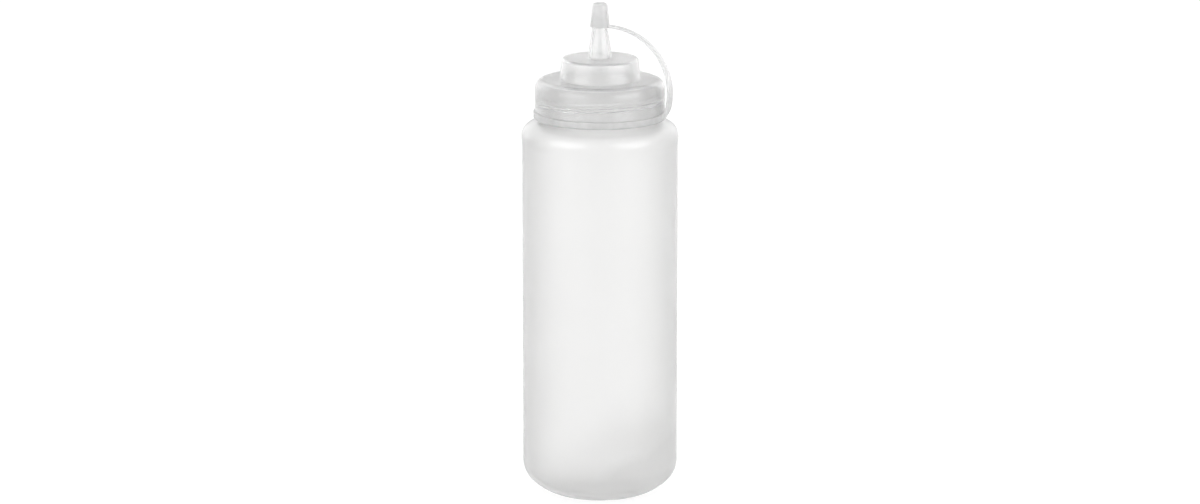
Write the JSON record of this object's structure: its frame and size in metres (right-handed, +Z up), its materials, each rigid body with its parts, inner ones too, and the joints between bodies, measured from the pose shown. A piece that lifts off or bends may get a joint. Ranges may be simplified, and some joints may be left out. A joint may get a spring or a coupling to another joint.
{
  "type": "squeeze bottle",
  "caption": "Translucent plastic squeeze bottle for sauces, with a screw lid, a tapered nozzle and a tip cap on a strap.",
  "frame": {"origin": "middle of the circle that the bottle stands on", "axes": "+Z up along the bottle's axis; +X towards the side over which the strap arches"},
  "size_m": [0.08, 0.08, 0.2555],
  "materials": {
    "bottle": "natural translucent polyethylene, frosted",
    "lid": "natural translucent polyethylene, satin",
    "cap": "natural translucent polyethylene, satin"
  },
  "bodies": {
    "root": {"bottle": "bottle", "screw_lid": "lid", "tip_cap": "cap"}
  },
  "joints": []
}
